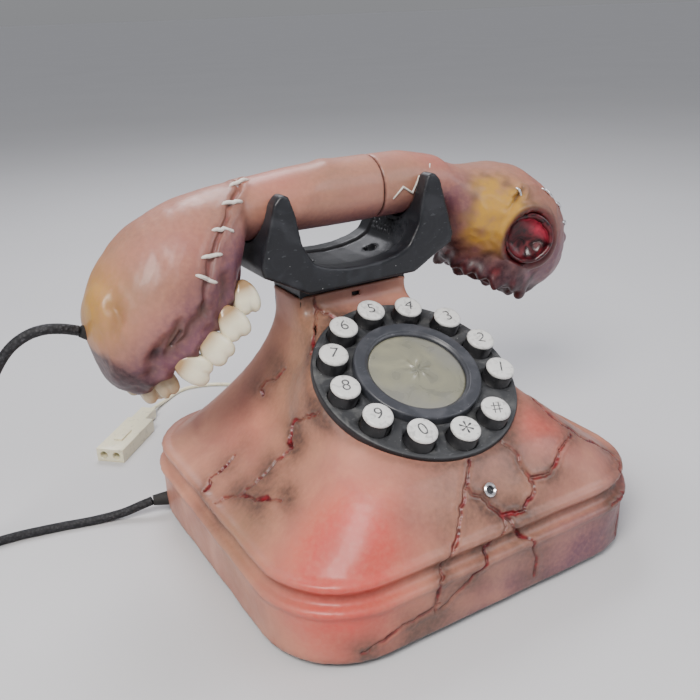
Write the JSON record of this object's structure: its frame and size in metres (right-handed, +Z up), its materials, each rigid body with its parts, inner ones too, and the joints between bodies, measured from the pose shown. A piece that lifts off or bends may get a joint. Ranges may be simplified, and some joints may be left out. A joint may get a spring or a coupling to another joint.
{
  "type": "novelty shaped telephone",
  "caption": "Desk telephone with a flared, flesh-look stepped body, a tilted ring of push buttons, a sprung horned cradle and a lift-off handset ending in a toothed mouth and a hollow socket.",
  "frame": {"origin": "on the table surface, under the middle of the plinth", "axes": "+X to the right seen from the front, +Y to the back, +Z up"},
  "size_m": [0.4503, 0.3252, 0.1934],
  "materials": {
    "flesh_paint": "painted latex skin over a plastic shell, semi-matt",
    "black_plastic": "moulded black ABS, satin",
    "grey_plastic": "worn dark grey ABS, matt",
    "key_plastic": "black barrel with a worn silver-white cap",
    "lens_plastic": "frosted translucent plastic",
    "steel": "zinc plated steel",
    "dark_rubber": "black rubber",
    "board_green": "green solder mask over glass-fibre board",
    "grey_rubber": "moulded silicone rubber",
    "tooth_resin": "painted resin, glossy",
    "gore_paint": "wet-look dark red paint",
    "nylon_cream": "natural nylon",
    "cord_cover": "black braided cover",
    "thread": "thick waxed cotton thread",
    "bright_metal": "bright plated",
    "cone_paper": "black paper cone",
    "cell_sleeve": "printed shrink sleeve, plain"
  },
  "bodies": {
    "base": {"body_shell": "flesh_paint", "base_plate": "black_plastic", "rubber_feet": "dark_rubber", "base_screws": "steel", "battery_box": "black_plastic", "battery_cells": "cell_sleeve", "battery_contacts": "steel", "battery_door": "black_plastic", "battery_door_screw": "steel", "main_board": "board_green", "board_screws": "steel", "speaker_basket": "steel", "speaker_cone": "cone_paper", "speaker_magnet": "steel", "mode_switch_body": "black_plastic", "dial_plate": "grey_plastic", "bezel_ring": "grey_plastic", "window_lens": "lens_plastic", "dial_lamp": "lens_plastic", "keypad_mat": "grey_rubber", "keypad_board": "board_green", "sensor_eyelet": "bright_metal", "sensor_capsule": "black_plastic", "hook_tower": "black_plastic", "hook_switch": "black_plastic", "base_gland": "dark_rubber", "lead_gland": "dark_rubber", "handset_cord": "cord_cover", "plug_lead": "nylon_cream", "plug_body": "nylon_cream"},
    "button_1": {"button_1": "key_plastic"},
    "button_2": {"button_2": "key_plastic"},
    "button_3": {"button_3": "key_plastic"},
    "button_4": {"button_4": "key_plastic"},
    "button_5": {"button_5": "key_plastic"},
    "button_6": {"button_6": "key_plastic"},
    "button_7": {"button_7": "key_plastic"},
    "button_8": {"button_8": "key_plastic"},
    "button_9": {"button_9": "key_plastic"},
    "button_0": {"button_0": "key_plastic"},
    "button_star": {"button_star": "key_plastic"},
    "button_hash": {"button_hash": "key_plastic"},
    "mode_switch": {"mode_switch_slider": "black_plastic"},
    "cradle": {"cradle_post": "black_plastic", "cradle": "black_plastic", "cradle_screws": "steel", "hook_spring": "steel"},
    "handset": {"handset_mouth_half": "flesh_paint", "handset_ear_half": "flesh_paint", "mouth_liner": "gore_paint", "upper_teeth": "tooth_resin", "lower_teeth": "tooth_resin", "ear_socket_liner": "gore_paint", "ear_speaker": "black_plastic", "scar_stitches": "thread", "ear_staples": "bright_metal", "handset_gland": "dark_rubber"}
  },
  "joints": [
    {"name": "button_1_press", "type": "slide", "parent": "base", "child": "button_1", "axis": [0, 0.4226, -0.9063], "range_m": [0, 0.002], "stiffness_N_per_m": 150},
    {"name": "button_2_press", "type": "slide", "parent": "base", "child": "button_2", "axis": [0, 0.4226, -0.9063], "range_m": [0, 0.002], "stiffness_N_per_m": 150},
    {"name": "button_3_press", "type": "slide", "parent": "base", "child": "button_3", "axis": [0, 0.4226, -0.9063], "range_m": [0, 0.002], "stiffness_N_per_m": 150},
    {"name": "button_4_press", "type": "slide", "parent": "base", "child": "button_4", "axis": [0, 0.4226, -0.9063], "range_m": [0, 0.002], "stiffness_N_per_m": 150},
    {"name": "button_5_press", "type": "slide", "parent": "base", "child": "button_5", "axis": [0, 0.4226, -0.9063], "range_m": [0, 0.002], "stiffness_N_per_m": 150},
    {"name": "button_6_press", "type": "slide", "parent": "base", "child": "button_6", "axis": [0, 0.4226, -0.9063], "range_m": [0, 0.002], "stiffness_N_per_m": 150},
    {"name": "button_7_press", "type": "slide", "parent": "base", "child": "button_7", "axis": [0, 0.4226, -0.9063], "range_m": [0, 0.002], "stiffness_N_per_m": 150},
    {"name": "button_8_press", "type": "slide", "parent": "base", "child": "button_8", "axis": [0, 0.4226, -0.9063], "range_m": [0, 0.002], "stiffness_N_per_m": 150},
    {"name": "button_9_press", "type": "slide", "parent": "base", "child": "button_9", "axis": [0, 0.4226, -0.9063], "range_m": [0, 0.002], "stiffness_N_per_m": 150},
    {"name": "button_0_press", "type": "slide", "parent": "base", "child": "button_0", "axis": [0, 0.4226, -0.9063], "range_m": [0, 0.002], "stiffness_N_per_m": 150},
    {"name": "button_star_press", "type": "slide", "parent": "base", "child": "button_star", "axis": [0, 0.4226, -0.9063], "range_m": [0, 0.002], "stiffness_N_per_m": 150},
    {"name": "button_hash_press", "type": "slide", "parent": "base", "child": "button_hash", "axis": [0, 0.4226, -0.9063], "range_m": [0, 0.002], "stiffness_N_per_m": 150},
    {"name": "mode_switch_slide", "type": "slide", "parent": "base", "child": "mode_switch", "axis": [1, 0, 0], "range_m": [0, 0.004]},
    {"name": "handset_lift", "type": "slide", "parent": "base", "child": "handset", "axis": [0, 0, 1], "range_m": [0, 0.08]},
    {"name": "cradle_rise", "type": "slide", "parent": "base", "child": "cradle", "axis": [0, 0, 1], "range_m": [0, 0.004], "deforming": ["hook_spring"]}
  ],
  "couplings": [
    {"joint": "cradle_rise", "follows": "handset_lift", "ratio": 0.05}
  ]
}
